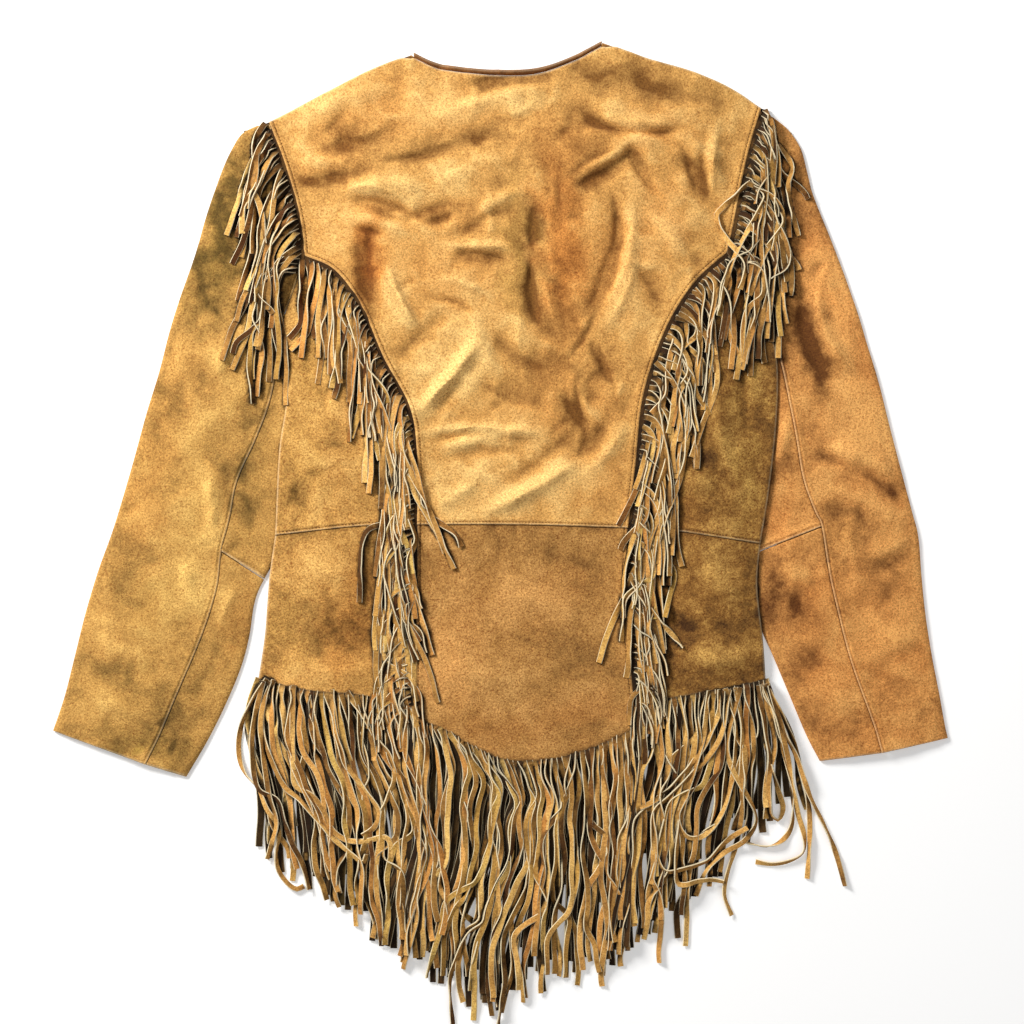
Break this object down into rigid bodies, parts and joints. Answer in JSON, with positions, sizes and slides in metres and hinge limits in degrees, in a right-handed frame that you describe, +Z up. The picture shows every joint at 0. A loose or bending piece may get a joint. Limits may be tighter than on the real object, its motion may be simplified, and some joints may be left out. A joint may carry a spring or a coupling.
{
  "type": "fringed buckskin jacket",
  "caption": "Fitted suede jacket laid flat on its front, back up, with slit-leather fringe at the armholes, princess seams and pointed hem.",
  "frame": {"origin": "on the surface the jacket lies on, under the middle of its outline", "axes": "+Z up from the surface, +Y from the hem towards the neck, +X towards the wearer's right sleeve"},
  "size_m": [0.852, 0.9304, 0.016],
  "materials": {
    "suede_back": "golden tan napped suede, mottled with brown and orange, pale speckled grain",
    "suede_tail": "tan brown napped suede, fairly even, slightly darker towards the hem",
    "suede_side": "olive tan napped suede with brown shading towards the side seams",
    "suede_front": "tan napped suede, plain",
    "suede_sleeve_left": "golden to olive napped suede, worn darker at the cuff with small blue-grey marks",
    "suede_sleeve_right": "orange tan napped suede with dark brown creases",
    "suede_binding": "brown suede edge with a dark stitched line",
    "suede_fringe": "golden tan suede strips with pale cut edges"
  },
  "bodies": {
    "root": {"back_center_upper": "suede_back", "back_tail": "suede_tail", "neck_binding": "suede_binding", "side_back_upper_left": "suede_side", "side_back_lower_left": "suede_side", "front_left": "suede_front", "sleeve_upper_left": "suede_sleeve_left", "sleeve_under_upper_left": "suede_sleeve_left", "sleeve_under_lower_left": "suede_sleeve_left", "fringe_princess_left": "suede_fringe", "fringe_armhole_left": "suede_fringe", "fringe_front_armhole_left": "suede_fringe", "side_back_upper_right": "suede_side", "side_back_lower_right": "suede_side", "front_right": "suede_front", "sleeve_upper_right": "suede_sleeve_right", "sleeve_under_upper_right": "suede_sleeve_right", "sleeve_under_lower_right": "suede_sleeve_right", "fringe_princess_right": "suede_fringe", "fringe_armhole_right": "suede_fringe", "fringe_front_armhole_right": "suede_fringe", "fringe_hem_center": "suede_fringe", "fringe_hem_side_left": "suede_fringe", "fringe_hem_side_right": "suede_fringe", "fringe_hem_front_left": "suede_fringe", "fringe_hem_front_right": "suede_fringe"}
  },
  "joints": []
}
